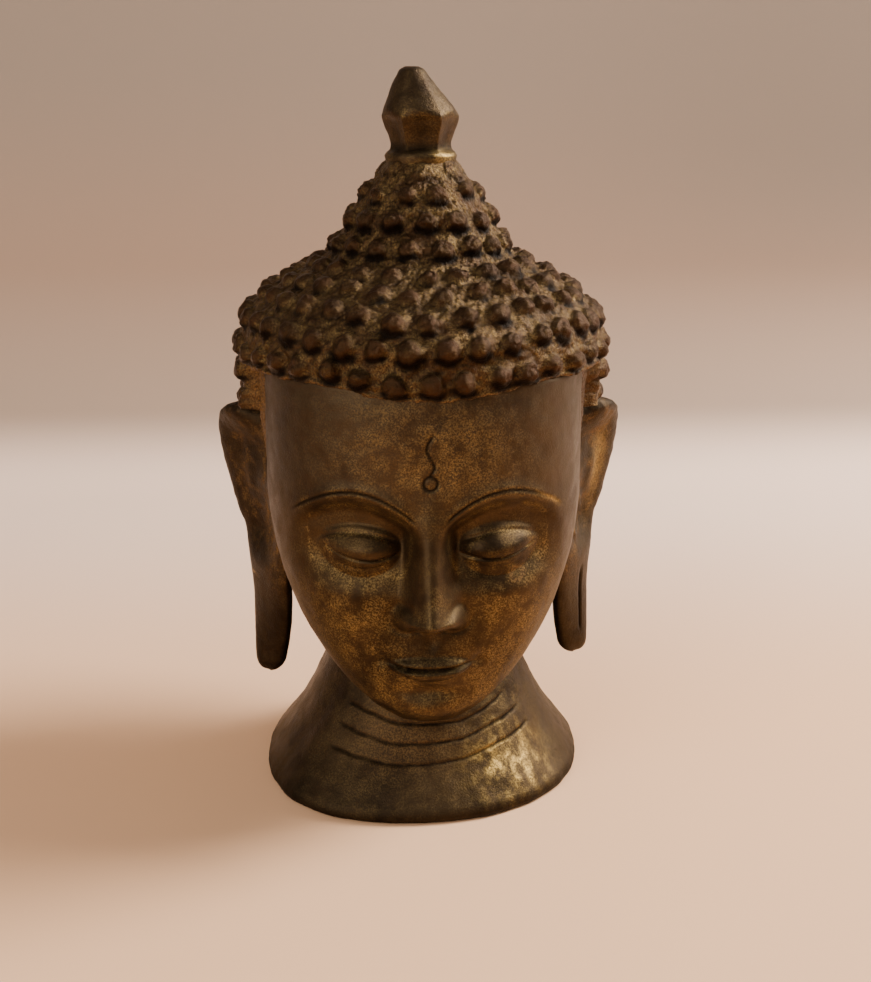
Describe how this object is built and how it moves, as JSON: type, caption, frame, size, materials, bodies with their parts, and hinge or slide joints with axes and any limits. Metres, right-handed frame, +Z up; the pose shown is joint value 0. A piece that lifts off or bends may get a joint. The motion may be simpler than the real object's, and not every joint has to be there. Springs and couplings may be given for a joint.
{
  "type": "buddha head sculpture",
  "caption": "Small cast brass head of a buddha with rows of small curls, a pointed crown bud, long ears and a flared neck that stands on its flat foot.",
  "frame": {"origin": "middle of the flat underside of the foot", "axes": "+Z up, the face looks along -Y, +X towards the head's own left ear"},
  "size_m": [0.0902, 0.0893, 0.15],
  "materials": {
    "old_brass": "aged cast brass, dark brown patina rubbed golden on the high spots, half gloss"
  },
  "bodies": {
    "root": {"buddha_head": "old_brass"}
  },
  "joints": []
}
